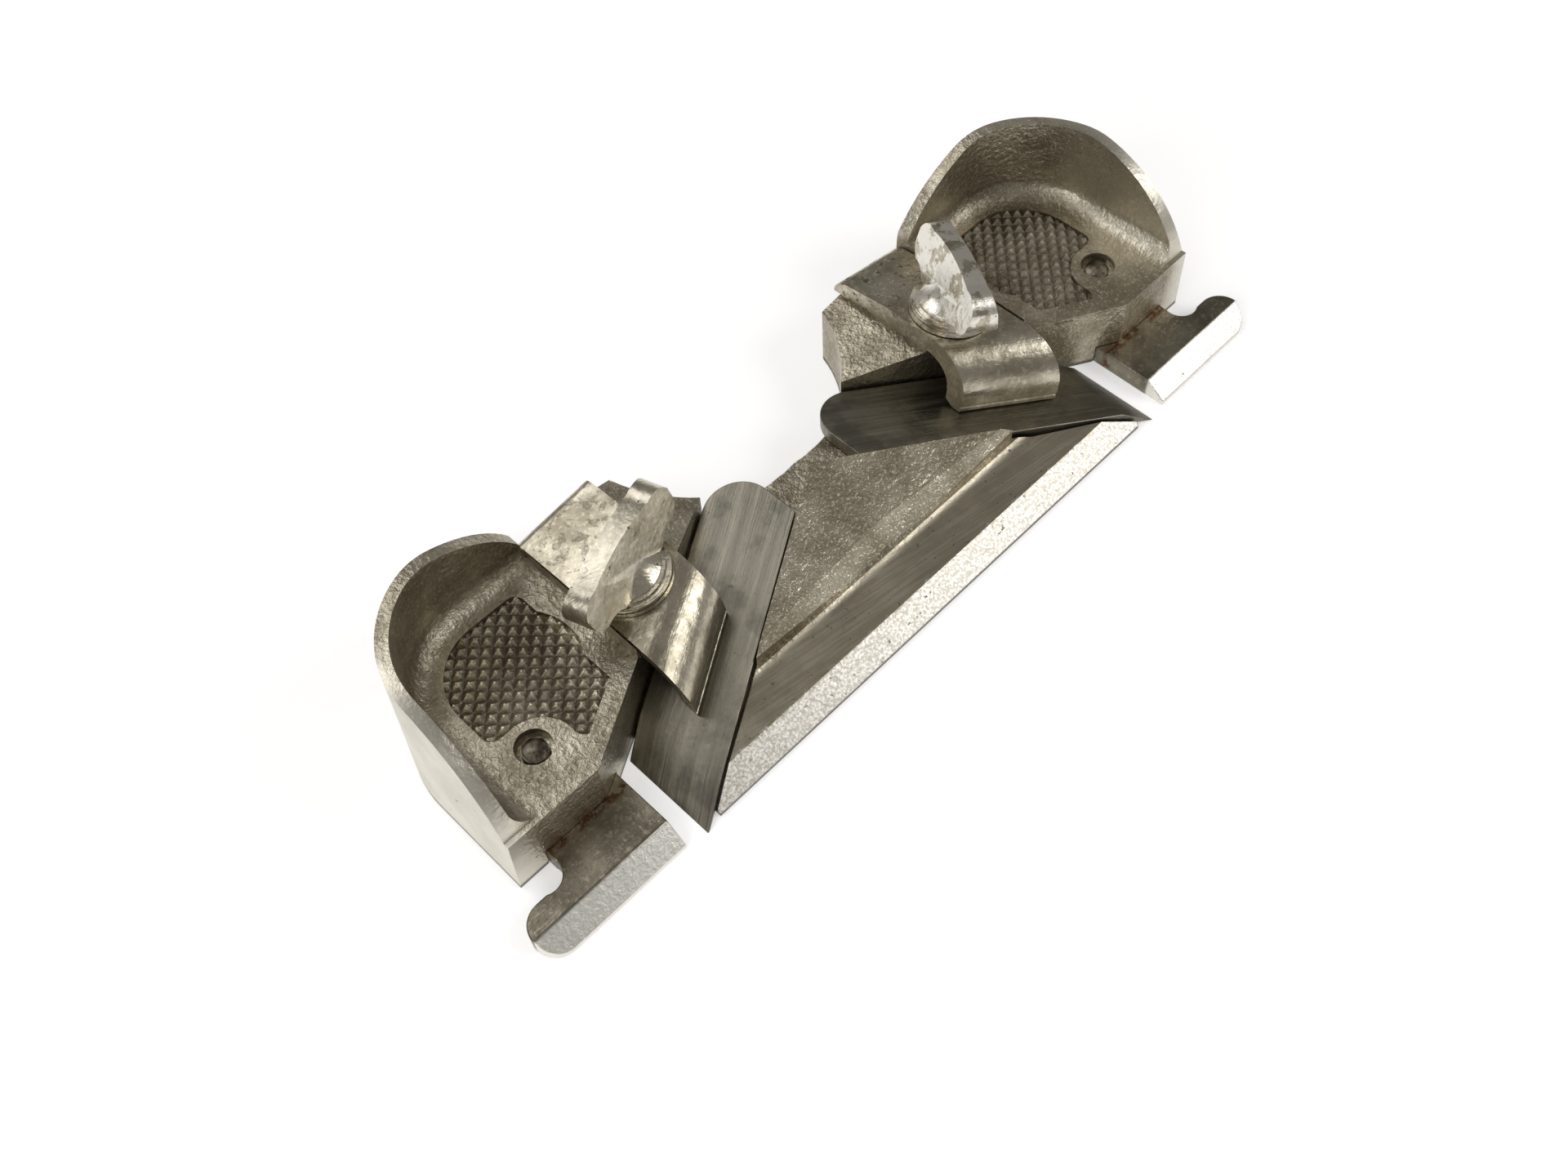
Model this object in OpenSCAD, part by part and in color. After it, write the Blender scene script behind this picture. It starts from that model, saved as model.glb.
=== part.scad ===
// Side rabbet plane with two opposed cutters, lying on its flat working face.
// Units are millimetres.
// X runs along the long edge, Y from the long edge to the back, Z up from the flat face.
// The two ends are mirror images, so every size of an end is given once, for the right-hand end.

/* [Casting] */
// Length over both toes
plane_length = 139.7; // [136:0.1:146]
// Depth from the long edge to the back of the finger cups, at the flat face
casting_depth = 43.9; // [43.4:0.1:45]
// Step from the back of the cups to the back of the clamp beds
bed_inset = 1; // [0.6:0.1:1.6]
// Height of the thin bottom edge along the flat face
edge_height = 0.8; // [0.5:0.1:1.4]
// Width of the bright bevel beside the long edge
bevel_width = 3.3; // [2.5:0.1:4]
// Thickness of the casting at the top of the bevel
bar_thickness = 3.1; // [2.8:0.1:3.6]
// Distance of the ridge line from the long edge
ridge_y = 10.2; // [9:0.1:11]
// Height of the ridge line
ridge_height = 4.3; // [3.8:0.1:5]
// Distance of the bank top from the long edge, at the middle
bank_y = 12.9; // [12:0.1:14]
// Height of the bank top
bank_height = 7.2; // [6:0.1:8]
// Height of the plateau at its peak
plateau_height = 10.1; // [9:0.1:11]
// Turn of the bank from the long edge
bank_turn = 4.3; // [0:0.1:5]
// Distance from the middle to the end of the long bar
bar_end = 42.4; // [41.5:0.1:43]

/* [Cutters] */
// Width of a cutter
cutter_width = 12.7; // [12:0.1:13.2]
// Thickness of a cutter
cutter_thickness = 2.2; // [1.8:0.1:2.6]
// Angle of a cutter to the long edge, seen from above
skew_angle = 30; // [28:0.5:31]
// Slope of the cutter beds
bed_angle = 9; // [8:0.25:10]
// Distance from the middle to a cutting edge
edge_x = 45.2; // [44.5:0.1:45.6]
// How far a cutter's corner stands past the long edge
cutter_stand = 0.7; // [0:0.1:1]
// Distance from the middle to a cutter's blunt end
cutter_end = 6.5; // [6.2:0.1:9]
// Radius of the round corner at the blunt end
cutter_corner = 5.2; // [3:0.1:6]
// Angle of the bevel ground on a cutter, from its underside
grind_angle = 24; // [20:1:30]
// Gap between a cutter and each wall of its slot
slot_gap = 0.4; // [0.2:0.05:0.6]

/* [Clamp beds] */
// Height of the rough top of a clamp bed where it meets the clamp
bed_top = 10.9; // [10.4:0.1:11.4]
// Slope of that top towards the middle
bed_fall = 11; // [8:0.5:13]
// Radius of the hollow behind the neck and along the flank of the bed
hollow_radius = 20; // [19:0.1:21]
// Distance from the middle to the centre of that hollow's arc
hollow_x = 1.7; // [1:0.1:2]
// Distance of the hollow's lowest point from the long edge
hollow_front = 28.3; // [28:0.1:29]

/* [Finger cups] */
// Height of the cup floor above the flat face
floor_height = 11; // [10.5:0.1:11.6]
// Height of the cup rim
rim_height = 24.2; // [22:0.1:25]
// Distance from the middle to the cup's outer wall at the flat face
cup_end = 66; // [65.4:0.1:66.6]
// Corner radius of the cup at the flat face, seen from above
cup_radius = 17.2; // [15:0.1:18]
// Thickness of the cup wall at the rim
rim_wall = 1.7; // [1.4:0.1:2.2]
// Thickness of the cup wall just above the floor
foot_wall = 2.2; // [1.8:0.1:2.6]
// Lean of the cup wall towards the inside
cup_lean = 3; // [1:0.25:4]
// Radius between the cup wall and its floor
bowl_radius = 3; // [2:0.1:3.2]
// Radius of the arc that the rim follows, seen from the side and from the back
rim_arc = 20.8; // [20.4:0.1:21.2]
// Distance from the middle to the rim's highest point, seen from the back
rim_peak_x = 55.5; // [54.8:0.1:56.2]
// Distance from the long edge to the rim's highest point, seen from the side
rim_peak_y = 31; // [30.6:0.1:31.4]
// Distance of the cup's front wall from the long edge
cup_front = 10.9; // [10.6:0.1:11.4]

/* [Grip pads] */
// Distance from the middle to the pad's edge beside the clamp
pad_inner = 41.8; // [41.4:0.1:42.4]
// Distance from the middle to the pad's edge beside the cup wall
pad_outer = 58.4; // [57.6:0.1:58.8]
// Distance of the pad's lowest point from the long edge
pad_front = 15.2; // [14.8:0.1:15.8]
// Distance of the pad's back edge from the long edge
pad_back = 37.7; // [36:0.1:38.2]
// Radius of the pad's corner at the back of the cup
pad_turn = 9; // [6:0.5:10]
// Radius of the pad's small corners
pad_corner = 1.6; // [1:0.1:2]
// Radius of the pad's bite beside the nose screw
pad_bite = 5.1; // [4.6:0.1:5.4]
// Pitch of the checkering
pad_pitch = 1.59; // [1.4:0.01:2.2]
// Depth of the sunk pad
pad_depth = 0.8; // [0.5:0.1:1]

/* [Clamps] */
// Distance from the middle to a clamp's inner edge
clamp_inner = 24.6; // [23.8:0.1:24.8]
// Distance from the middle to a clamp's outer edge
clamp_outer = 37.2; // [36.8:0.1:37.4]
// Thickness of the clamp plate
clamp_thickness = 3; // [2.6:0.1:3.3]
// Thickness of the clamp lip
lip_thickness = 2.5; // [2.2:0.1:3.2]
// Height of the lip's foot, above which a fine line runs along it
lip_foot = 0.9; // [0.7:0.05:1.2]
// Radius of the bend into the lip
lip_bend = 6.6; // [5:0.1:7.5]
// Distance of the lip from the cutter's edge beside the long bar
lip_offset = 5.8; // [5:0.1:6]
// How far a clamp stands past the back of its bed
clamp_overhang = 0.6; // [0:0.1:0.9]
// Fall of the clamp's top from the thumb screw to the back
back_fall = 1.2; // [0.6:0.1:1.6]
// Gap between pieces that rest on each other or are clamped
seat_gap = 0.12; // [0.05:0.01:0.2]
// Gap between a clamp and the casting beside it
side_gap = 0.3; // [0.2:0.05:0.5]
// Gap between a cutter's underside and its bed
bed_gap = 0.05; // [0.03:0.01:0.1]

/* [Thumb screws] */
// Distance from the middle to a thumb screw's axis, at the top of the clamp
screw_x = 31; // [30.4:0.1:31.6]
// Distance of a thumb screw's axis from the long edge
screw_y = 27.2; // [26.8:0.1:28.2]
// Height of the clamp top at the thumb screw's axis
clamp_top = 13.9; // [13.6:0.1:14.6]
// Thread diameter of the thumb screws
thumb_dia = 4.8; // [4.2:0.1:5]
// Thread pitch of the thumb screws
thumb_pitch = 0.8; // [0.7:0.05:1]
// Diameter of the flange under a thumb screw's head
flange_dia = 12; // [10.5:0.1:12.6]
// Length of the wing
wing_length = 20.6; // [19:0.1:23.4]
// Height of the wing's top above the clamp
wing_top = 10; // [9.5:0.1:11.5]
// Thickness of the wing at its rim
wing_rim = 2.7; // [2.2:0.1:3.4]
// Thickness of the wing at its foot
wing_foot = 6; // [5:0.1:7]
// Radius of the wing's round tips
wing_tip = 3.1; // [2.8:0.1:3.6]
// Radius of the hub at the top of the flange
hub_radius = 4.7; // [4.2:0.1:5]
// Turn of the left wing from the long edge
wing_turn_left = 17; // [-90:1:90]
// Turn of the right wing from the long edge
wing_turn_right = 61; // [-90:1:90]

/* [Nose pieces] */
// Distance from the middle to a nose piece's mouth edge
mouth_x = 48.2; // [47.8:0.1:48.8]
// Distance from the middle to the outer side of a nose piece's leg
leg_x = 61.3; // [60.5:0.1:61.8]
// Length of a nose piece's leg from the long edge
leg_length = 28; // [25:0.1:31]
// Width of the toe
toe_width = 6.7; // [6:0.1:7.2]
// Radius of the round notch behind the toe
notch_radius = 2.5; // [2:0.1:2.7]

/* [Nose screws] */
// Distance from the middle to a nose screw's axis
nose_screw_x = 54.7; // [54:0.1:55.4]
// Distance of a nose screw's axis from the long edge
nose_screw_y = 18.9; // [18.4:0.1:19.6]
// Thread diameter of the nose screws
nose_screw_dia = 3.5; // [3:0.1:4]
// Thread pitch of the nose screws
nose_pitch = 0.8; // [0.6:0.05:0.9]
// Head diameter of the nose screws
nose_head_dia = 6.8; // [6:0.1:7.6]
// Diameter of the recess round the screw end in the cup floor
recess_dia = 5; // [4.6:0.1:5.4]

/* [Fits] */
// Radial clearance of a screw in its hole
screw_fit = 0.08; // [0.03:0.01:0.1]

/* [Hidden] */
$fn = 64;
over = 1;
half = plane_length / 2;
ts = tan(skew_angle);
cs = cos(skew_angle);
tb = tan(bed_angle);
cb = cos(bed_angle);
sb = sin(bed_angle);
// A line parallel to a cutter is y = line value - x * ts
cutter_line = edge_x * ts - cutter_stand;
cutter_back_line = cutter_line + cutter_width / cs;
slot_line = cutter_line - slot_gap / cs;
wall_line = cutter_back_line + slot_gap / cs;
lip_line = cutter_line + lip_offset / cs;
// Levels in the tilted frame of a clamp, whose zero is the top of the clamp plate
bed_level = -clamp_thickness - seat_gap;
cutter_level = -(clamp_top - (edge_x - screw_x) * tb) * cb + cutter_thickness;
lip_level = cutter_level + seat_gap;
clamp_width = (clamp_outer - clamp_inner) / cb;
clamp_left = (clamp_inner - screw_x) / cb;
bed_back = casting_depth - bed_inset;
clamp_back = bed_back + clamp_overhang - screw_y;
thumb_hole_depth = 12.2;
thumb_length = 11.4;
nose_seat = bar_thickness + seat_gap;
lean = tan(cup_lean);
corner_x = cup_end - cup_radius;
corner_y = casting_depth - cup_radius;
depth_shift = (casting_depth - cutter_stand) / 2;
thread_cut = 0.3;
line_depth = 0.22;

// Part to draw

// Puts the long edge and the back at equal distances from the middle
module placed() {
    translate([0, -depth_shift, 0])
        children();
}

module left_hand() {
    mirror([1, 0, 0])
        children();
}

// Tilted frame of a clamp: origin on the thumb screw's axis at the top of the clamp plate
module clamp_frame() {
    translate([screw_x, screw_y, clamp_top])
        rotate([0, bed_angle, 0])
            children();
}

// Frame of a slot: X along the cutter from its cutting edge, Y across it from the slot's inner wall
module skew_frame(line) {
    translate([0, line, 0])
        rotate([0, 0, -skew_angle])
            children();
}

// Everything above the sloping cutter bed
module above_bed(lift) {
    translate([edge_x, 0, lift])
        rotate([0, bed_angle, 0])
            translate([-120, -60, 0])
                cube([160, 160, 40]);
}

// One cup wall section: distance outward from the corner centre, then height
module wall_section(inner) {
    foot = cup_radius - floor_height * lean - foot_wall;
    polygon([
        [inner, 0],
        [cup_radius, 0],
        [cup_radius - rim_height * lean, rim_height],
        [cup_radius - rim_height * lean - rim_wall, rim_height],
        [foot, floor_height],
        [inner, floor_height]
    ]);
    difference() {
        translate([foot - bowl_radius, floor_height - 0.5])
            square([bowl_radius + 0.6, bowl_radius + 0.5]);
        translate([foot - bowl_radius, floor_height + bowl_radius])
            circle(r = bowl_radius);
    }
}

// Finger cup: leaning wall swept along the back, round the corner and down the outer side
module cup_walls() {
    intersection() {
        union() {
            translate([corner_x, corner_y, 0])
                rotate_extrude(angle = 90, $fn = 96)
                    wall_section(1);
            translate([corner_x, corner_y, 0])
                rotate([90, 0, -90])
                    linear_extrude(corner_x - clamp_outer - side_gap)
                        mirror([1, 0])
                            wall_section(0);
            translate([corner_x, corner_y, 0])
                rotate([90, 0, 0])
                    linear_extrude(corner_y - cup_front)
                        wall_section(0);
        }
        shoulder_limit();
        slope_limit();
    }
}

// Rim seen from the back: an arc on the clamp side of its highest point
module shoulder_limit() {
    translate([rim_peak_x, 0, -over])
        cube([60, 60, rim_height + over]);
    translate([clamp_outer, 0, -over])
        cube([60, 60, floor_height + over]);
    translate([rim_peak_x, 60, rim_height - rim_arc])
        rotate([90, 0, 0])
            cylinder(r = rim_arc, h = 60, $fn = 128);
}

// Rim seen from the outer side: an arc in front of its highest point
module slope_limit() {
    translate([clamp_outer, rim_peak_y, -over])
        cube([60, 40, rim_height + over]);
    translate([clamp_outer, rim_peak_y, rim_height - rim_arc])
        rotate([0, 90, 0])
            cylinder(r = rim_arc, h = 60, $fn = 128);
    translate([clamp_outer, 0, -over])
        cube([60, 60, floor_height + over]);
}

// Right half of the casting's long bar and plateau
module bar_half() {
    rotate([90, 0, 90])
        linear_extrude(bar_end)
            polygon([
                [0, 0],
                [0, edge_height],
                [bevel_width, bar_thickness],
                [ridge_y - 1.6, bar_thickness + 0.5],
                [ridge_y - 0.5, ridge_height],
                [ridge_y, ridge_height],
                [ridge_y + 1, ridge_height],
                [ridge_y + 8, ridge_height],
                [ridge_y + 8, 0]
            ]);
    intersection() {
        translate([0, bank_y, 0])
            rotate([0, 0, -bank_turn])
                translate([-20, 0, 0])
                    rotate([90, 0, 90])
                        linear_extrude(100)
                            polygon([
                                [-bank_y + ridge_y + 0.4, 0],
                                [-bank_y + ridge_y + 0.4, ridge_height],
                                [0, bank_height],
                                [12, plateau_height],
                                [16, plateau_height],
                                [16, 0]
                            ]);
        translate([0, ridge_y, 0])
            cube([bar_end, 18, 20]);
    }
}

// Outline of the right half of the back of the casting, from the neck to the cup
module back_outline() {
    difference() {
        union() {
            translate([0, ridge_y + 2])
                square([bar_end, bed_back - ridge_y - 2]);
            translate([bar_end - 1, cup_front])
                square([corner_x - bar_end + 2, bed_back - cup_front]);
        }
        neck_cut();
        // The plateau in front of the slot belongs to the bar
        polygon([
            [-over, 0],
            [-over, slot_line + 0.5],
            [bar_end, slot_line + 0.5 - bar_end * ts],
            [bar_end, 0]
        ]);
        // Front of the cup beyond the slot's outer wall
        translate([bar_end, 0])
            square([wall_line / ts, cup_front]);
        mouth_cut();
    }
}

// Hollow behind the neck and along the curved flank of the clamp bed
module neck_cut() {
    translate([hollow_x, hollow_front + hollow_radius])
        circle(r = hollow_radius, $fn = 128);
    translate([-over, hollow_front])
        square([hollow_x + over, 60]);
}

// Opening between the end of the bar, the nose piece and the slot's outer wall
module mouth_cut() {
    polygon([
        [bar_end, -over],
        [bar_end, wall_line - bar_end * ts],
        [(wall_line - cup_front) / ts, cup_front],
        [(wall_line - cup_front) / ts, -over]
    ]);
}

module casting_half() {
    difference() {
        union() {
            bar_half();
            clamp_bed();
            cup_walls();
        }
        slot_space();
        mouth_space();
        nose_pocket();
        clamp_recess();
        pad_space();
        clamp_frame()
            translate([0, 0, -thumb_hole_depth])
                cylinder(d = thumb_dia + 2 * screw_fit, h = thumb_hole_depth + over);
        translate([nose_screw_x, nose_screw_y, 0]) {
            translate([0, 0, bar_thickness - over])
                cylinder(d = nose_screw_dia + 2 * screw_fit, h = floor_height + over);
            translate([0, 0, floor_height - 2])
                cylinder(d = recess_dia, h = 2 + over);
        }
    }
    checkering();
}

// Block that carries the clamp, the cup floor and the neck
module clamp_bed() {
    difference() {
        linear_extrude(floor_height + 2)
            back_outline();
        translate([clamp_inner, 0, bed_top])
            rotate([0, -bed_fall, 0])
                translate([-60, 0, 0])
                    cube([60.3, 60, 20]);
        translate([clamp_outer + side_gap, 0, floor_height])
            cube([60, 60, 20]);
    }
}

// Slot of one cutter, open above its sloping bed
module slot_space() {
    intersection() {
        skew_frame(slot_line)
            translate([-40, 0, -over])
                cube([120, (wall_line - slot_line) * cs, 60]);
        above_bed(-bed_gap);
    }
}

module mouth_space() {
    translate([0, 0, -over])
        linear_extrude(floor_height + 20)
            mouth_cut();
}

// Pocket in the flat face for the leg of the nose piece
module nose_pocket() {
    translate([mouth_x - seat_gap, -over, -over])
        cube([leg_x - mouth_x + 2 * seat_gap, leg_length + over + seat_gap, nose_seat + over]);
}

// Milled seat of the clamp, parallel to the cutter bed
module clamp_recess() {
    clamp_frame()
        translate([clamp_left - 0.02, -30, bed_level])
            cube([clamp_width + side_gap, 60, 30]);
}

// Outline of the checkered pad, with its round bite beside the screw end
module pad_outline(inset = 0) {
    bite_x = nose_screw_x + 0.2;
    bite_y = nose_screw_y - 1.3;
    lobe_y = bite_y + pad_bite;
    difference() {
        pad_shape(inset);
        translate([bite_x, bite_y])
            circle(r = pad_bite + inset);
        translate([bite_x - pad_bite - inset, bite_y - 20])
            square([20, 20]);
        translate([bite_x, bite_y - 10])
            square([20, lobe_y - bite_y + 10 + inset]);
        translate([pad_inner + inset, pad_back - inset])
            outside_corner(1, -1);
        translate([pad_outer - inset, lobe_y + inset])
            outside_corner(-1, 1);
        translate([bite_x - pad_bite - inset, pad_front + inset])
            outside_corner(-1, 1);
    }
}

// Waste outside a round corner; the signs point from the corner into the pad
module outside_corner(sx, sy) {
    difference() {
        translate([sx < 0 ? -pad_corner : -over, sy < 0 ? -pad_corner : -over])
            square(pad_corner + over);
        translate([sx * pad_corner, sy * pad_corner])
            circle(r = pad_corner);
    }
}

// Pad with its large round corner and the slanted side beside the mouth
module pad_shape(inset) {
    px = pad_inner + inset;
    py = pad_front + inset;
    w = pad_outer - pad_inner - 2 * inset;
    h = pad_back - pad_front - 2 * inset;
    border = 2.6;
    slant = wall_line + (border + inset) / cs;
    intersection() {
        union() {
            translate([px, py])
                square([w - pad_turn, h]);
            translate([px, py])
                square([w, h - pad_turn]);
            translate([px + w - pad_turn, py + h - pad_turn])
                circle(r = pad_turn);
        }
        rotate([0, 0, -skew_angle])
            translate([-20, slant * cs])
                square([120, 60]);
    }
}

module pad_space() {
    translate([0, 0, floor_height - pad_depth])
        linear_extrude(pad_depth + over)
            pad_outline();
}

// Raised points of the checkering, cut at forty-five degrees to the long edge
module checkering() {
    intersection() {
        translate([0, 0, floor_height - pad_depth - 0.2])
            linear_extrude(pad_depth + 0.1)
                pad_outline(-0.1);
        translate([50, 26, 0])
            difference() {
                translate([-20, -20, floor_height - pad_depth - 0.2])
                    cube([40, 40, pad_depth + 0.1]);
                groove_rows(45);
                groove_rows(-45);
            }
    }
}

module groove_rows(turn) {
    rows = 9;
    rotate([0, 0, turn])
        for (i = [-rows : rows])
            translate([i * pad_pitch, 0, floor_height - pad_depth + 0.05])
                rotate([0, -45, 0])
                    translate([0, -20, 0])
                        cube([pad_pitch, 40, pad_pitch]);
}

module body() {
    color("DarkKhaki")
        placed() {
            casting_half();
            left_hand()
                casting_half();
        }
}

// Flat steel cutter with a skewed ground edge
module cutter() {
    length = (edge_x - cutter_end) / cs;
    intersection() {
        linear_extrude(30)
            cutter_outline();
        translate([edge_x, 0, 0])
            rotate([0, bed_angle, 0])
                translate([-length - 10, -20, 0])
                    difference() {
                        cube([length + 10, 80, cutter_thickness]);
                        translate([length + 10, -over, 0])
                            rotate([0, grind_angle - 90, 0])
                                cube([20, 90, 20]);
                    }
    }
}

module cutter_outline() {
    top = cutter_back_line - cutter_end * ts;
    intersection() {
        polygon([
            [edge_x + 3, cutter_line - (edge_x + 3) * ts],
            [edge_x + 3, cutter_back_line - (edge_x + 3) * ts],
            [cutter_end, top],
            [cutter_end, cutter_line - cutter_end * ts]
        ]);
        union() {
            translate([cutter_end, -10])
                square([60, corner_centre_y() + 10]);
            translate([cutter_end + cutter_corner, corner_centre_y()]) {
                circle(r = cutter_corner);
                rotate(-skew_angle)
                    square([60, 60]);
            }
        }
    }
}

// Centre of the round corner: touches the blunt end and the cutter's outer edge
function corner_centre_y() =
    cutter_back_line - (cutter_end + cutter_corner) * ts - cutter_corner / cs;

module cutter_left() {
    color("DimGray")
        placed()
            left_hand()
                cutter();
}

module cutter_right() {
    color("DimGray")
        placed()
            cutter();
}

// Clamp plate with its back end rounded down and its front bent down into a skewed lip
module clamp() {
    clamp_frame() {
        difference() {
            intersection() {
                union() {
                    clamp_plate();
                    clamp_lip();
                }
                translate([clamp_left, -40, -20])
                    cube([clamp_width, 40 + clamp_back, 40]);
            }
            cylinder(d = thumb_dia + 2 * screw_fit, h = 40, center = true);
        }
    }
}

// Distance of the lip's front from the screw axis, square to the lip
function lip_front() = (lip_line - screw_x * ts - screw_y) * cs;

module clamp_plate() {
    difference() {
        rotate([0, 0, -skew_angle])
            translate([-60, lip_front() + lip_bend, -clamp_thickness])
                cube([120, 80, clamp_thickness]);
        // Hollow underside between the back foot and the lip
        translate([-30, -14, -clamp_thickness - over])
            cube([60, 14 + clamp_back - 3, over + 0.35]);
        // Top falling away behind the thumb screw
        translate([-40, flange_dia / 2 + 0.6, 0])
            rotate([-atan(back_fall / (clamp_back - flange_dia / 2)), 0, 0])
                cube([80, 40, 10]);
        back_round();
    }
}

// Rounded back end of the clamp
module back_round() {
    r = clamp_thickness - back_fall - 0.2;
    translate([-40, clamp_back - r, -r - back_fall])
        difference() {
            cube([80, r + over, r + over]);
            rotate([0, 90, 0])
                cylinder(r = r, h = 80);
        }
}

module clamp_lip() {
    rotate([0, 0, -skew_angle])
        translate([-60, lip_front(), 0])
            rotate([90, 0, 90])
                linear_extrude(120)
                    lip_section();
}

// Section of the lip, seen along the cutter: bend, upright, and a foot narrowed at the back
module lip_section() {
    bend_inside = lip_bend - lip_thickness;
    foot_top = lip_level + lip_foot;
    difference() {
        union() {
            intersection() {
                translate([lip_bend, -lip_bend])
                    circle(r = lip_bend);
                translate([0, -lip_bend])
                    square([lip_bend, lip_bend]);
            }
            translate([lip_bend - 0.01, -clamp_thickness])
                square([0.6, clamp_thickness]);
            polygon([
                [0, -lip_bend + 0.3],
                [0, foot_top + line_depth],
                [line_depth, foot_top],
                [0, foot_top - line_depth],
                [0, lip_level + 0.2],
                [0.2, lip_level],
                [lip_thickness / 2, lip_level],
                [lip_thickness, foot_top],
                [lip_thickness, -lip_bend + 0.3]
            ]);
        }
        translate([lip_bend + 0.2, -lip_bend - 0.1])
            circle(r = bend_inside + 0.1);
        translate([lip_thickness, lip_level - over])
            square([lip_bend, -lip_level - lip_bend + over]);
    }
}

module clamp_left_end() {
    color("Silver")
        placed()
            left_hand()
                clamp();
}

module clamp_right_end() {
    color("Silver")
        placed()
            clamp();
}

// Outline of a threaded shank: radius, then height, with grooves at the thread pitch
module shank_section(r, length, pitch, plain) {
    turns = floor((length - plain - 0.6) / pitch);
    start = -plain;
    polygon(concat(
        [[0, 0], [r, 0], [r, start]],
        [for (i = [0 : turns - 1]) each [
            [r, start - i * pitch],
            [r - thread_cut, start - (i + 0.5) * pitch],
            [r, start - (i + 0.98) * pitch]
        ]],
        [[r - 0.5, -length], [0, -length]]
    ));
}

// Thumb screw: threaded shank, stepped flange, waisted hub and oval wing
module thumb_screw(turn) {
    clamp_frame()
        translate([0, 0, seat_gap])
            rotate([0, 0, turn]) {
                rotate_extrude($fn = 96)
                    head_section();
                rotate_extrude($fn = 64)
                    shank_section(thumb_dia / 2, thumb_length, thumb_pitch, clamp_thickness + 0.3);
                wing();
            }
}

// Turned head under the wing: a flange with a fine groove, and a hollow-sided hub
module head_section() {
    fr = flange_dia / 2;
    hub_tip = wing_rim / 2;
    hub_top = wing_top - 1;
    rise = hub_top - 2.2;
    spread = hub_radius - hub_tip;
    hub_arc = (spread * spread + rise * rise) / (2 * spread);
    difference() {
        union() {
            square([fr, 0.8]);
            square([fr - 0.3, 1.6]);
            translate([0, 1])
                square([fr - 0.1, 0.5]);
            square([fr - 0.8, 2]);
            square([hub_radius, hub_top]);
        }
        translate([hub_tip + hub_arc, hub_top])
            intersection() {
                circle(r = hub_arc, $fn = 180);
                translate([-hub_arc, -rise])
                    square([2 * hub_arc, 2 * rise]);
            }
    }
}

// Oval wing: a rounded outline in elevation, thinner towards its rim, with round tips
module wing() {
    intersection() {
        rotate([90, 0, 0])
            linear_extrude(14, center = true)
                wing_outline();
        rotate([90, 0, 90])
            linear_extrude(wing_length + 2, center = true)
                polygon([
                    [-wing_foot / 2, 2],
                    [-wing_rim / 2, wing_top + 0.1],
                    [wing_rim / 2, wing_top + 0.1],
                    [wing_foot / 2, 2]
                ]);
        cylinder(d = wing_length, h = 30, $fn = 96);
    }
}

// Wing in elevation: a low arch between two round tips, hollowed under each tip
module wing_outline() {
    reach = wing_length / 2 - wing_tip;
    crown = 26;
    hollow = 0.2;
    hollow_drop = 0.2;
    tip_y = wing_top - crown + sqrt(crown * crown - reach * reach) - wing_tip + 0.25;
    difference() {
        union() {
            intersection() {
                translate([0, wing_top - crown])
                    circle(r = crown, $fn = 180);
                translate([-reach, 2])
                    square([2 * reach, 12]);
            }
            for (s = [-1, 1])
                translate([s * reach, tip_y])
                    circle(r = wing_tip);
        }
        for (s = [-1, 1])
            translate([s * (reach + hollow), hollow_drop])
                circle(r = wing_tip);
    }
}

module thumb_screw_left() {
    color("Gainsboro")
        placed()
            left_hand()
                thumb_screw(-wing_turn_left);
}

module thumb_screw_right() {
    color("Gainsboro")
        placed()
            thumb_screw(wing_turn_right);
}

// Nose piece: flat plate with a beveled toe and a leg under the finger cup
module nose() {
    difference() {
        intersection() {
            linear_extrude(bar_thickness)
                nose_outline();
            translate([mouth_x - over, 0, 0])
                rotate([90, 0, 90])
                    linear_extrude(40)
                        polygon([
                            [0, 0],
                            [0, edge_height],
                            [bevel_width, bar_thickness],
                            [leg_length, bar_thickness],
                            [leg_length, 0]
                        ]);
        }
        translate([nose_screw_x, nose_screw_y, 0]) {
            translate([0, 0, -over])
                cylinder(d = nose_screw_dia + 2 * screw_fit, h = bar_thickness + 2 * over);
            head_cone(screw_fit);
        }
    }
}

module nose_outline() {
    toe_r = toe_width / 2;
    notch_x = leg_x - 0.1 + notch_radius;
    notch_y = toe_width - 0.3 + notch_radius;
    difference() {
        union() {
            translate([mouth_x, 0])
                square([leg_x - mouth_x, leg_length]);
            translate([mouth_x, 0])
                square([half - toe_r - mouth_x, toe_width]);
            translate([mouth_x, 0])
                square([notch_x - mouth_x, notch_y]);
            translate([half - toe_r, toe_r])
                circle(r = toe_r);
        }
        translate([notch_x, notch_y])
            circle(r = notch_radius);
    }
}

// Countersunk head space, grown by a clearance
module head_cone(grow) {
    hr = nose_head_dia / 2;
    sr = nose_screw_dia / 2;
    translate([0, 0, -over])
        cylinder(r = hr + grow, h = over + 0.3 + grow);
    translate([0, 0, 0.3 + grow])
        cylinder(r1 = hr + grow, r2 = sr + grow, h = hr - sr);
}

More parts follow.
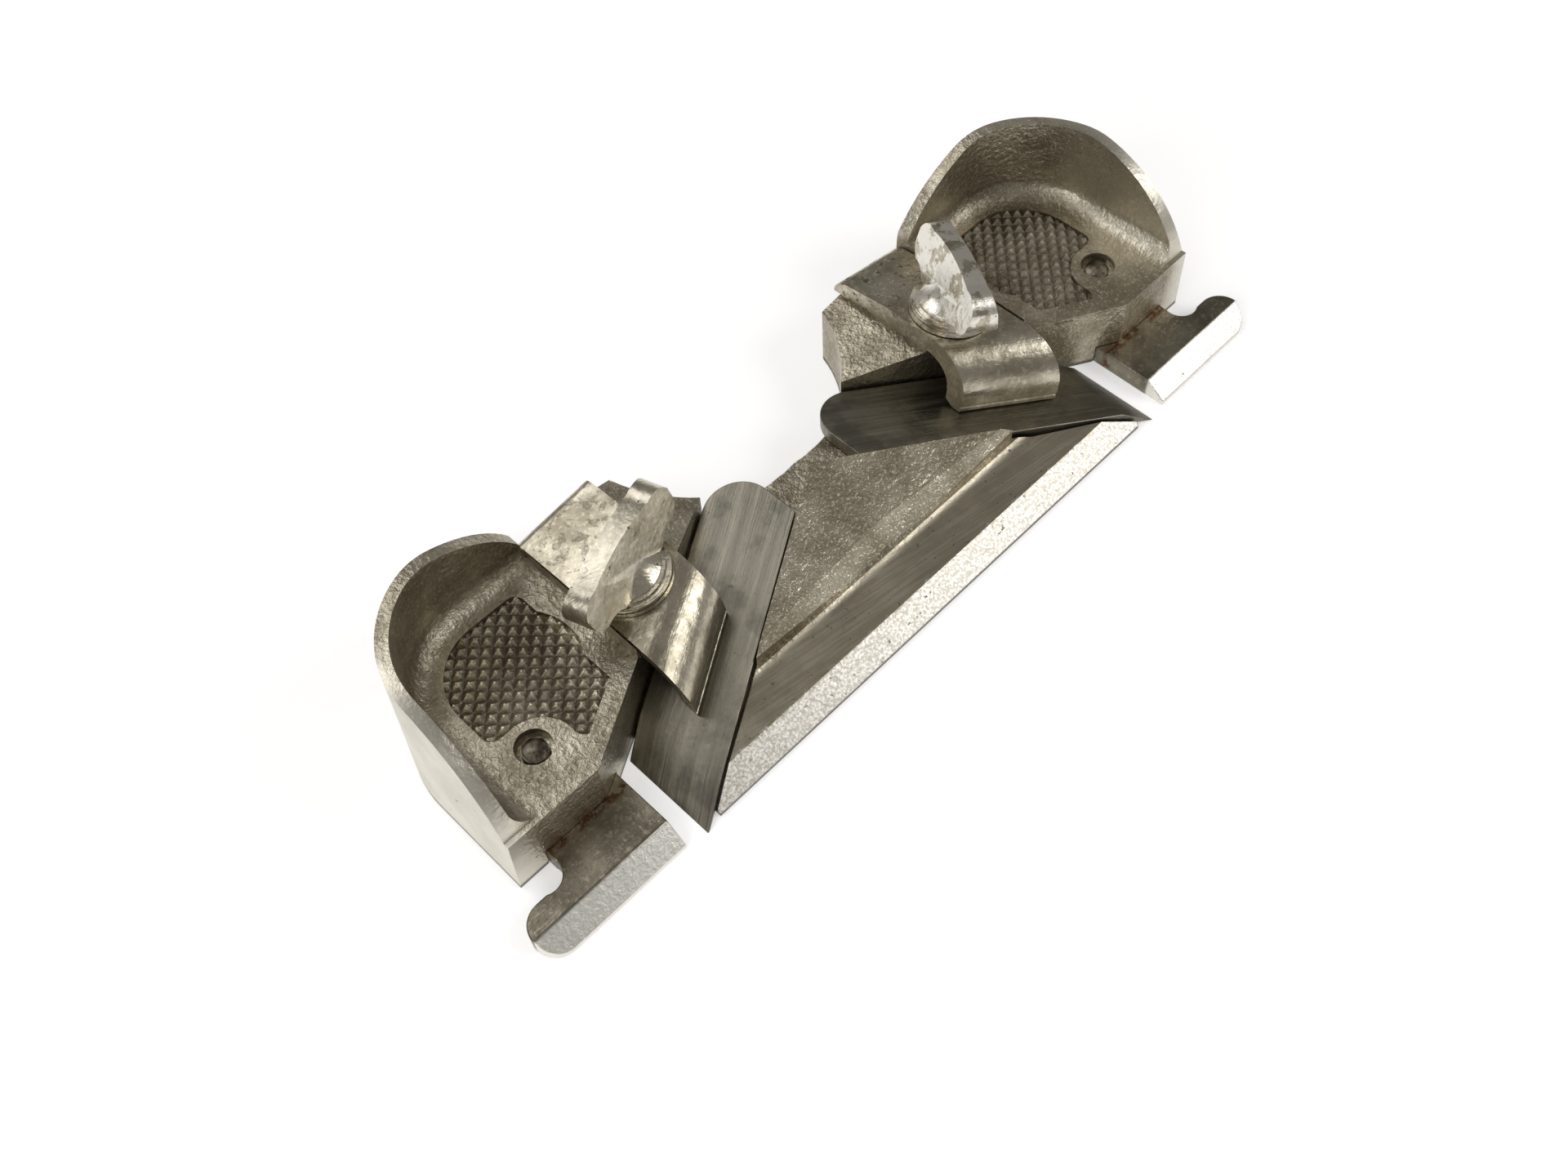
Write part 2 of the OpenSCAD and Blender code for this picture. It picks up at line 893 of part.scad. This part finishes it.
// Nose screw: slotted countersunk head in the flat face, domed end in the cup floor
module nose_screw() {
    sr = nose_screw_dia / 2;
    hr = nose_head_dia / 2;
    top = floor_height - 0.9;
    translate([nose_screw_x, nose_screw_y, 0])
        difference() {
            union() {
                translate([0, 0, 0.05])
                    cylinder(r = hr, h = 0.25);
                translate([0, 0, 0.3])
                    cylinder(r1 = hr, r2 = sr, h = hr - sr);
                translate([0, 0, top])
                    rotate_extrude()
                        shank_section(sr, top - 1, nose_pitch, 0.8);
                intersection() {
                    translate([0, 0, top - 3])
                        cylinder(r = sr, h = 5);
                    translate([0, 0, top - 2.6])
                        sphere(r = 3.1);
                    translate([0, 0, top + 2 - 0.1])
                        cube([10, 10, 4], center = true);
                }
            }
            // Driver slot
            cube([nose_head_dia + over, 0.9, 1.8], center = true);
        }
}

module nose_left() {
    color("Tan")
        placed()
            left_hand()
                nose();
}

module nose_right() {
    color("Tan")
        placed()
            nose();
}

module nose_screw_left() {
    color("SlateGray")
        placed()
            left_hand()
                nose_screw();
}

module nose_screw_right() {
    color("SlateGray")
        placed()
            nose_screw();
}

body();
cutter_left();
cutter_right();
clamp_left_end();
clamp_right_end();
thumb_screw_left();
thumb_screw_right();
nose_left();
nose_right();
nose_screw_left();
nose_screw_right();
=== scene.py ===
import math

import bmesh
import bpy
from mathutils import Matrix, Vector


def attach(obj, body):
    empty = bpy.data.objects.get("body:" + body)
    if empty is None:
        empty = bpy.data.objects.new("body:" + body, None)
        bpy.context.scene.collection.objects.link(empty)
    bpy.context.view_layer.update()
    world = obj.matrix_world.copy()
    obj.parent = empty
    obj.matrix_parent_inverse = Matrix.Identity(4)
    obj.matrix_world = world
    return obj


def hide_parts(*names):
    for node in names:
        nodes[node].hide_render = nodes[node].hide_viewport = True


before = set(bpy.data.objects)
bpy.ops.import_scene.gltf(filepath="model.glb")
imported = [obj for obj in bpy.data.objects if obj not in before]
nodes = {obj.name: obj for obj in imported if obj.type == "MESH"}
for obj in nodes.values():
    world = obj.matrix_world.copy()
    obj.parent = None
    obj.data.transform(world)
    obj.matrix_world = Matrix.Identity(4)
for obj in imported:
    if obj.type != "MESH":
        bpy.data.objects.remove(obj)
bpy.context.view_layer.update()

# Casting: one piece of nickel-plated grey iron with two finger cups, the clamp beds,
# the cutter slots and the long beveled edge. It is cast, and its faces are then ground.
DEPTH_SHIFT = 0.0216
EDGE_Y = -DEPTH_SHIFT
BEVEL_WIDTH = 0.0033
RIDGE_Y = 0.0102
FLOOR_HEIGHT = 0.011
CUP_OUTER_X = 0.0640


def softened_copy(node, edge, angle=28.0, segments=2):
    """A copy of a solid with its triangles joined and every sharp edge slightly rounded."""
    mesh = nodes[node].data.copy()
    mesh.name = node + "_worn"
    bm = bmesh.new()
    bm.from_mesh(mesh)
    bmesh.ops.remove_doubles(bm, verts=bm.verts, dist=2e-6)
    bmesh.ops.dissolve_degenerate(bm, edges=bm.edges, dist=1e-6)
    bmesh.ops.dissolve_limit(bm, angle_limit=math.radians(0.6), verts=bm.verts, edges=bm.edges)
    for face in bm.faces:
        face.smooth = True
    for crease in bm.edges:
        if len(crease.link_faces) == 2:
            crease.smooth = crease.calc_face_angle() < math.radians(angle)
    bm.to_mesh(mesh)
    bm.free()
    mesh.materials.clear()
    piece = bpy.data.objects.new(node + "_worn", mesh)
    bpy.context.scene.collection.objects.link(piece)
    round_edges = piece.modifiers.new("worn edges", "BEVEL")
    round_edges.width = edge
    round_edges.segments = segments
    round_edges.limit_method = "ANGLE"
    round_edges.angle_limit = math.radians(angle)
    round_edges.harden_normals = False
    round_edges.use_clamp_overlap = True
    return piece


class Shading:
    """Node tree of one finish, read in real metres from the piece's own coordinates."""

    def __init__(self, name):
        self.material = bpy.data.materials.new(name)
        self.material.use_nodes = True
        self.tree = self.material.node_tree
        self.surface = self.tree.nodes["Principled BSDF"]
        self.place = self.tree.nodes.new("ShaderNodeTexCoord").outputs["Object"]
        apart = self.add("ShaderNodeSeparateXYZ", Vector=self.place)
        self.x, self.y, self.z = apart.outputs[:3]

    def add(self, kind, **sockets):
        node = self.tree.nodes.new(kind)
        for name, value in sockets.items():
            self.feed(node.inputs[name.replace("_", " ")], value)
        return node

    def feed(self, socket, value):
        if isinstance(value, bpy.types.NodeSocket):
            self.tree.links.new(value, socket)
        else:
            socket.default_value = value

    def math(self, operation, *values):
        node = self.tree.nodes.new("ShaderNodeMath")
        node.operation = operation
        for socket, value in zip(node.inputs, values):
            self.feed(socket, value)
        return node.outputs[0]

    def noise(self, per_metre, detail=4.0, roughness=0.55, place=None, distortion=0.0):
        node = self.add("ShaderNodeTexNoise", Vector=place or self.place, Scale=per_metre,
                        Detail=detail, Roughness=roughness, Distortion=distortion)
        return node.outputs["Fac"]

    def turned(self, angle, stretch):
        """Coordinates turned about Z, then stretched, for marks that run along one line."""
        turn = self.add("ShaderNodeMapping", Vector=self.place)
        turn.inputs["Rotation"].default_value = (0, 0, angle)
        squeeze = self.add("ShaderNodeMapping", Vector=turn.outputs[0])
        squeeze.inputs["Scale"].default_value = stretch
        return squeeze.outputs[0]

    def ramp(self, value, low, high):
        """0 below low, 1 above high."""
        node = self.tree.nodes.new("ShaderNodeMapRange")
        node.interpolation_type = "SMOOTHSTEP"
        self.feed(node.inputs["Value"], value)
        node.inputs["From Min"].default_value = low
        node.inputs["From Max"].default_value = high
        return node.outputs[0]

    def fade(self, value, low, high):
        """1 below low, 0 above high."""
        return self.math("SUBTRACT", 1.0, self.ramp(value, low, high))

    def blend(self, share, first, second):
        node = self.tree.nodes.new("ShaderNodeMix")
        node.data_type = "RGBA"
        self.feed(node.inputs["Factor"], share)
        self.feed(node.inputs[6], first)
        self.feed(node.inputs[7], second)
        return node.outputs[2]

    def level(self, share, first, second):
        node = self.tree.nodes.new("ShaderNodeMix")
        self.feed(node.inputs["Factor"], share)
        self.feed(node.inputs[2], first)
        self.feed(node.inputs[3], second)
        return node.outputs[0]

    def relief(self, height, depth, below=None):
        node = self.tree.nodes.new("ShaderNodeBump")
        node.inputs["Strength"].default_value = 1.0
        self.feed(node.inputs["Distance"], depth)
        self.feed(node.inputs["Height"], height)
        if below is not None:
            self.feed(node.inputs["Normal"], below)
        return node.outputs[0]

    def finish(self, colour, roughness, normal):
        self.feed(self.surface.inputs["Base Color"], colour)
        self.feed(self.surface.inputs["Roughness"], roughness)
        self.feed(self.surface.inputs["Normal"], normal)
        self.surface.inputs["Metallic"].default_value = 1.0
        return self.material


NICKEL = (0.58, 0.53, 0.42, 1)
NICKEL_PALE = (0.80, 0.75, 0.62, 1)
NICKEL_DARK = (0.29, 0.25, 0.18, 1)
BRIGHT_LOW = (0.50, 0.47, 0.41, 1)
BRIGHT_HIGH = (0.80, 0.775, 0.72, 1)
HOLLOW_DARK = (0.37, 0.33, 0.255, 1)
HOLLOW_PALE = (0.46, 0.42, 0.33, 1)
WALL_POLISH_AND_REFLECTION = (0.72, 0.69, 0.61, 1)
RUST = (0.12, 0.062, 0.03, 1)
# Dark grime colour; on the casting it also serves as painted shade.
GRIME_AND_SHADE = (0.06, 0.047, 0.034, 1)
CLOUDS_PER_METRE = 140
SPOTS_PER_METRE = 330
SPARKLES_PER_METRE = 2600
GRAINS_PER_METRE = 1300
GRAIN_DEPTH = 0.00022
SWELLS_PER_METRE = 380
SWELL_DEPTH = 0.00016
PAD_DEPTH = 0.0008
PAD_INNER = 0.0417
PAD_OUTER = 0.0585
PAD_FRONT = 0.0151
PAD_BACK = 0.0378
HALF_BAR = 0.0423


def cast_nickel():
    cast = Shading("cast_nickel")
    across = cast.math("SUBTRACT", cast.y, EDGE_Y)
    side = cast.math("ABSOLUTE", cast.x)
    cloud = cast.noise(CLOUDS_PER_METRE, 5, 0.6)
    flecks_and_glints = cast.noise(SPARKLES_PER_METRE, 4, 0.6)
    grain = cast.noise(GRAINS_PER_METRE, 3, 0.6)
    swell = cast.noise(SWELLS_PER_METRE, 3, 0.5)
    ragged = cast.math("MULTIPLY", cast.math("SUBTRACT", cast.noise(700, 5, 0.7), 0.5), 0.0026)
    bar = cast.fade(side, HALF_BAR - 0.0003, HALF_BAR + 0.0003)
    near_edge = cast.fade(cast.math("ADD", across, ragged), BEVEL_WIDTH - 0.0003, BEVEL_WIDTH + 0.0001)
    bevel = cast.math("MULTIPLY", bar, near_edge)
    hollow = cast.math("MULTIPLY", bar, cast.fade(across, RIDGE_Y - 0.0010, RIDGE_Y - 0.0002))
    hollow = cast.math("MAXIMUM", cast.math("SUBTRACT", hollow, bevel), 0.0)
    outer = cast.ramp(side, CUP_OUTER_X - 0.0035, CUP_OUTER_X + 0.0012)
    # Painted shade: the bottom band of the casting, next to the board, is darkened.
    base_shade = cast.fade(cast.z, 0.0004, 0.0009)
    # Grime and painted shade: the bottoms of the checkering grooves in the cup floors are darkened.
    pad = cast.math("MULTIPLY",
                    cast.ramp(cast.z, FLOOR_HEIGHT - PAD_DEPTH - 0.0001, FLOOR_HEIGHT - PAD_DEPTH + 0.0001),
                    cast.fade(cast.z, FLOOR_HEIGHT - 0.0006, FLOOR_HEIGHT - 0.0001))
    for value, low, high in ((side, PAD_INNER, PAD_OUTER), (across, PAD_FRONT, PAD_BACK)):
        span = cast.math("MULTIPLY", cast.ramp(value, low - 0.0002, low), cast.fade(value, high, high + 0.0002))
        pad = cast.math("MULTIPLY", pad, span)
    # Grime and painted shade: a darker band where each cup's inner wall meets its floor.
    corner = cast.math("ABSOLUTE", cast.math("SUBTRACT", cast.z, FLOOR_HEIGHT + 0.0016))
    inside = cast.fade(side, CUP_OUTER_X - 0.0040, CUP_OUTER_X - 0.0010)
    corner = cast.math("MULTIPLY", cast.fade(corner, 0.0004, 0.0026), inside)
    colour = cast.blend(cast.ramp(cloud, 0.35, 0.68), NICKEL_DARK, NICKEL)
    # Pale flecks in the cast grain: partly the grain's own tone, partly painted glints.
    colour = cast.blend(cast.math("MULTIPLY", cast.ramp(flecks_and_glints, 0.50, 0.70), 0.6), colour, NICKEL_PALE)
    scratch = cast.noise(1.0, 3, 0.7, cast.turned(math.radians(8), (90, 2600, 90)))
    colour = cast.blend(hollow, colour, cast.blend(cast.ramp(scratch, 0.42, 0.62), HOLLOW_DARK, HOLLOW_PALE))
    # Ground bevel, its paler flecks partly tone and partly painted glints.
    colour = cast.blend(bevel, colour, cast.blend(cast.ramp(flecks_and_glints, 0.4, 0.62), BRIGHT_LOW, BRIGHT_HIGH))
    # The smooth outer walls of the cups are paler: partly their polished finish, partly a painted reflection of
    # the white board and the lamp light.
    colour = cast.blend(cast.math("MULTIPLY", outer, 0.75), colour, WALL_POLISH_AND_REFLECTION)
    spots = cast.ramp(cast.noise(SPOTS_PER_METRE, 5, 0.75), 0.66, 0.72)
    pits = cast.math("MULTIPLY", cast.ramp(cast.noise(1150, 4, 0.7), 0.63, 0.68), 0.75)
    dirt = cast.math("MULTIPLY", spots, 0.7)
    colour = cast.blend(dirt, colour, RUST)
    # Darkening: painted shade at the base, grime and painted shade in the checkering and cup corners, real dark
    # pits on the ground faces.
    grime_shade_mask = cast.math("MAXIMUM", cast.math("MULTIPLY", pad, 0.5), cast.math("MULTIPLY", base_shade, 0.7))
    grime_shade_mask = cast.math("MAXIMUM", grime_shade_mask, cast.math("MULTIPLY", corner, 0.3))
    grime_shade_mask = cast.math("MAXIMUM", grime_shade_mask, cast.math("MULTIPLY", cast.math("MAXIMUM", bevel, hollow), pits))
    colour = cast.blend(grime_shade_mask, colour, GRIME_AND_SHADE)
    ground = cast.math("MAXIMUM", hollow, cast.math("MAXIMUM", bevel, outer))
    relief = cast.relief(swell, cast.level(ground, SWELL_DEPTH, 0.00005))
    relief = cast.relief(grain, cast.level(ground, GRAIN_DEPTH, 0.00002), relief)
    relief = cast.relief(scratch, cast.level(hollow, 0.0, 0.000015), relief)
    rough = cast.level(cast.ramp(cloud, 0.3, 0.7), 0.42, 0.30)
    rough = cast.level(bevel, rough, 0.42)
    rough = cast.level(dirt, rough, 0.8)
    rough = cast.level(grime_shade_mask, rough, 0.62)
    return cast.finish(colour, rough, relief)


casting = softened_copy("body", 0.00035)
casting.data.materials.append(cast_nickel())
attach(casting, "body")
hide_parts("body")

# Cutters: flat bars of tool steel, ground along their length and then at the skewed edge.
# Each lies on its sloping bed under the lip of a clamp.
STEEL = (0.185, 0.17, 0.135, 1)
STEEL_LIGHT = (0.255, 0.237, 0.19, 1)
STEEL_SCRATCH = (0.35, 0.33, 0.28, 1)
STEEL_STAIN = (0.085, 0.078, 0.067, 1)
SKEW = math.radians(30)


def ground_steel(name, side):
    steel = Shading(name)
    lengthwise = steel.turned(side * SKEW, (70, 2400, 70))
    marks = steel.noise(1.0, 4, 0.65, lengthwise)
    streaks = steel.noise(1.0, 2, 0.5, steel.turned(side * SKEW, (14, 420, 14)))
    stain = steel.noise(160, 4, 0.6)
    spots = steel.ramp(steel.noise(620, 4, 0.7), 0.66, 0.72)
    colour = steel.blend(steel.ramp(streaks, 0.36, 0.66), STEEL, STEEL_LIGHT)
    colour = steel.blend(steel.math("MULTIPLY", steel.ramp(marks, 0.45, 0.7), 0.5), colour, STEEL_SCRATCH)
    colour = steel.blend(steel.math("MULTIPLY", steel.fade(stain, 0.38, 0.52), 0.45), colour, STEEL_STAIN)
    colour = steel.blend(steel.math("MULTIPLY", spots, 0.5), colour, GRIME_AND_SHADE)
    relief = steel.relief(marks, 0.00005)
    relief = steel.relief(stain, 0.00012, relief)
    rough = steel.level(steel.ramp(marks, 0.3, 0.7), 0.30, 0.46)
    return steel.finish(colour, rough, relief)


for side, sign in (("left", -1), ("right", 1)):
    cutter = softened_copy("cutter_" + side, 0.00012)
    cutter.data.materials.append(ground_steel("ground_steel_" + side, sign))
    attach(cutter, "cutter_" + side)
    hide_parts("cutter_" + side)

# Clamps: cast plates with a lip bent down on the cutter, nickel plated and pitted with age.
# Each is held by its thumb screw and rests on the casting at the back.
SATIN_DARK = (0.31, 0.275, 0.205, 1)
SATIN_LIGHT = (0.54, 0.495, 0.395, 1)
PALE_BLOTCH = (0.82, 0.79, 0.72, 1)
REAR_Y = 0.010
PITS_PER_METRE = 950
SOOT_PER_METRE = 640
PATCHES_PER_METRE = 230
CLAMP_PITS = 0.66
CLAMP_SOOT = {"left": 0.2, "right": 0.8}


def satin_nickel(name, sign, pits_low, soot, blotch_share):
    """Satin plating; soot is the share of black pitting at the back, the last argument the share of pale
    blotches.
    """
    satin = Shading(name)
    cloud = satin.noise(180, 5, 0.6)
    fine = satin.noise(1300, 4, 0.6)
    brushed = satin.noise(1.0, 3, 0.6, satin.turned(sign * SKEW, (260, 1900, 260)))
    pits = satin.ramp(satin.noise(PITS_PER_METRE, 5, 0.75), pits_low, pits_low + 0.05)
    rear = satin.math("MULTIPLY", satin.ramp(satin.y, REAR_Y - 0.004, REAR_Y + 0.003), soot)
    sooty = satin.ramp(satin.noise(SOOT_PER_METRE, 5, 0.75), 0.54, 0.62)
    pits = satin.math("MAXIMUM", pits, satin.math("MULTIPLY", rear, sooty))
    patches = satin.math("MULTIPLY", satin.ramp(satin.noise(PATCHES_PER_METRE, 5, 0.7), 0.42, 0.47), blotch_share)
    colour = satin.blend(satin.ramp(cloud, 0.33, 0.66), SATIN_DARK, SATIN_LIGHT)
    colour = satin.blend(satin.math("MULTIPLY", satin.ramp(fine, 0.5, 0.7), 0.4), colour, NICKEL_PALE)
    # Pale blotches over the plating, their share set per piece.
    colour = satin.blend(patches, colour, PALE_BLOTCH)
    colour = satin.blend(satin.math("MULTIPLY", pits, 0.85), colour, GRIME_AND_SHADE)
    relief = satin.relief(satin.noise(520, 3, 0.5), 0.00012)
    relief = satin.relief(brushed, 0.00004, relief)
    relief = satin.relief(satin.math("SUBTRACT", 1.0, pits), 0.00008, relief)
    rough = satin.level(satin.ramp(cloud, 0.3, 0.7), 0.36, 0.25)
    rough = satin.level(pits, rough, 0.7)
    return satin.finish(colour, rough, relief)


for side, sign in (("left", -1), ("right", 1)):
    clamp = softened_copy("clamp_" + side + "_end", 0.00035, segments=3)
    plating = satin_nickel("satin_nickel_" + side, sign, CLAMP_PITS, CLAMP_SOOT[side], 0.0)
    clamp.data.materials.append(plating)
    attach(clamp, "clamp_" + side)
    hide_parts("clamp_" + side + "_end")

# Thumb screws: a cast wing on a turned flange and a threaded shank, nickel plated.
# The shank goes through the clamp into the casting.
WING_PITS = 0.63
# Share of pale blotches on each wing, far larger on the right.
WING_BLOTCH_SHARE = {"left": 0.15, "right": 0.9}

for side in ("left", "right"):
    screw = softened_copy("thumb_screw_" + side, 0.0005, angle=32, segments=3)
    plating = satin_nickel("thumb_nickel_" + side, 1, WING_PITS, 0.0, WING_BLOTCH_SHARE[side])
    screw.data.materials.append(plating)
    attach(screw, "thumb_" + side)
    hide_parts("thumb_screw_" + side)

# Nose pieces: milled steel plates with a round toe and the long edge's bevel on their front.
# Each slides in a pocket under its finger cup and is held by a countersunk screw.
MILLED_DARK = (0.15, 0.132, 0.098, 1)
MILLED_LIGHT = (0.27, 0.243, 0.188, 1)
CUP_FRONT = 0.0109
SEAM_Y = CUP_FRONT - 0.0004


def milled_nickel():
    milled = Shading("milled_nickel")
    across = milled.math("SUBTRACT", milled.y, EDGE_Y)
    cloud = milled.noise(170, 5, 0.6)
    fine = milled.noise(1400, 4, 0.65)
    cuts = milled.noise(1.0, 3, 0.65, milled.turned(0, (90, 2200, 90)))
    front = milled.fade(across, BEVEL_WIDTH - 0.0004, BEVEL_WIDTH + 0.0001)
    colour = milled.blend(milled.ramp(cloud, 0.35, 0.66), MILLED_DARK, MILLED_LIGHT)
    colour = milled.blend(milled.math("MULTIPLY", milled.ramp(fine, 0.5, 0.7), 0.35), colour, NICKEL)
    colour = milled.blend(front, colour, BRIGHT_HIGH)
    spots = milled.ramp(milled.noise(500, 5, 0.75), 0.67, 0.72)
    from_seam = milled.math("ABSOLUTE", milled.math("SUBTRACT", across, SEAM_Y))
    seam = milled.fade(from_seam, 0.0002, 0.0011)
    seam = milled.math("MULTIPLY", seam, milled.ramp(milled.noise(420, 4, 0.7), 0.46, 0.56))
    rusty = milled.math("MAXIMUM", milled.math("MULTIPLY", spots, 0.8), seam)
    colour = milled.blend(rusty, colour, RUST)
    relief = milled.relief(cuts, 0.00004)
    relief = milled.relief(fine, 0.00006, relief)
    rough = milled.level(cloud, 0.44, 0.30)
    return milled.finish(colour, rough, relief)


nose_finish = milled_nickel()
for side in ("left", "right"):
    nose = softened_copy("nose_" + side, 0.0002)
    nose.data.materials.append(nose_finish)
    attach(nose, "nose_" + side)
    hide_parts("nose_" + side)

# Nose screws: countersunk steel screws from the flat face, whose domed ends show in the cup floors.
# They hold the nose pieces in their pockets.


def dull_steel():
    dull = Shading("dull_steel")
    cloud = dull.noise(700, 4, 0.6)
    colour = dull.blend(dull.ramp(cloud, 0.35, 0.65), GRIME_AND_SHADE, MILLED_LIGHT)
    relief = dull.relief(dull.noise(1800, 3, 0.6), 0.00008)
    return dull.finish(colour, dull.level(cloud, 0.5, 0.36), relief)


screw_finish = dull_steel()
for side in ("left", "right"):
    screw = softened_copy("nose_screw_" + side, 0.00015)
    screw.data.materials.append(screw_finish)
    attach(screw, "nose_screw_" + side)
    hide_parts("nose_screw_" + side)

# Floor: a plain white board that goes on past the camera's view.
# It keeps the plane's soft shadow and is white where metal mirrors it.
FLOOR_SIZE = 3.0
FLOOR_GLOW = 0.42
bm = bmesh.new()
bmesh.ops.create_grid(bm, x_segments=1, y_segments=1, size=FLOOR_SIZE)
floor_mesh = bpy.data.meshes.new("floor")
bm.to_mesh(floor_mesh)
bm.free()
floor = bpy.data.objects.new("floor", floor_mesh)
bpy.context.scene.collection.objects.link(floor)
board = bpy.data.materials.new("white_board")
board.use_nodes = True
tree = board.node_tree
paint = tree.nodes["Principled BSDF"]
paint.inputs["Base Color"].default_value = (0.9, 0.9, 0.9, 1)
paint.inputs["Roughness"].default_value = 0.9
glow = tree.nodes.new("ShaderNodeEmission")
glow.inputs["Strength"].default_value = FLOOR_GLOW
rays = tree.nodes.new("ShaderNodeLightPath")
lit = tree.nodes.new("ShaderNodeMath")
lit.operation = "MAXIMUM"
tree.links.new(rays.outputs["Is Camera Ray"], lit.inputs[0])
tree.links.new(rays.outputs["Is Glossy Ray"], lit.inputs[1])
gain = tree.nodes.new("ShaderNodeMath")
gain.operation = "MULTIPLY"
gain.inputs[1].default_value = FLOOR_GLOW
tree.links.new(lit.outputs[0], gain.inputs[0])
tree.links.new(gain.outputs[0], glow.inputs["Strength"])
sum_shader = tree.nodes.new("ShaderNodeAddShader")
tree.links.new(paint.outputs[0], sum_shader.inputs[0])
tree.links.new(glow.outputs[0], sum_shader.inputs[1])
tree.links.new(sum_shader.outputs[0], tree.nodes["Material Output"].inputs["Surface"])
floor_mesh.materials.append(board)

# Light: a pale world and large soft lamps, as round a small object on a white table.
WORLD_LEVEL = 0.25
world = bpy.data.worlds.new("studio")
bpy.context.scene.world = world
world.use_nodes = True
world.node_tree.nodes["Background"].inputs["Color"].default_value = (1.0, 0.975, 0.925, 1)
world.node_tree.nodes["Background"].inputs["Strength"].default_value = WORLD_LEVEL


def lamp(name, place, size, watts):
    data = bpy.data.lights.new(name, "AREA")
    data.shape = "DISK"
    data.size = size
    data.energy = watts
    holder = bpy.data.objects.new(name, data)
    bpy.context.scene.collection.objects.link(holder)
    holder.location = place
    holder.rotation_euler = (Vector((0, 0, 0)) - Vector(place)).to_track_quat("-Z", "Y").to_euler()


lamp("window", (-0.12, 0.42, 0.60), 0.60, 1.6)
lamp("front", (0.42, -0.46, 0.52), 0.40, 1.6)
lamp("fill", (-0.55, -0.10, 0.30), 0.50, 1.3)

# Camera: where the photograph was taken from, above the long edge and a little to the left.
CAMERA_LENS = 35.19
CAMERA_PLACE = (-0.090051, -0.066582 - DEPTH_SHIFT, 0.17618)
CAMERA_RIGHT = (0.70058, -0.71271, -0.03507)
CAMERA_UP = (0.61139, 0.57419, 0.54452)
CAMERA_BACK = (-0.36794, -0.40292, 0.83802)
camera_data = bpy.data.cameras.new("camera")
camera = bpy.data.objects.new("camera", camera_data)
bpy.context.scene.collection.objects.link(camera)
camera_data.sensor_width = 36
camera_data.lens = CAMERA_LENS
camera_data.clip_start = 0.01
camera_data.clip_end = 20
axes = Matrix((CAMERA_RIGHT, CAMERA_UP, CAMERA_BACK)).transposed().to_4x4()
camera.matrix_world = Matrix.Translation(CAMERA_PLACE) @ axes
bpy.context.scene.camera = camera

bpy.context.scene.view_settings.view_transform = "Standard"
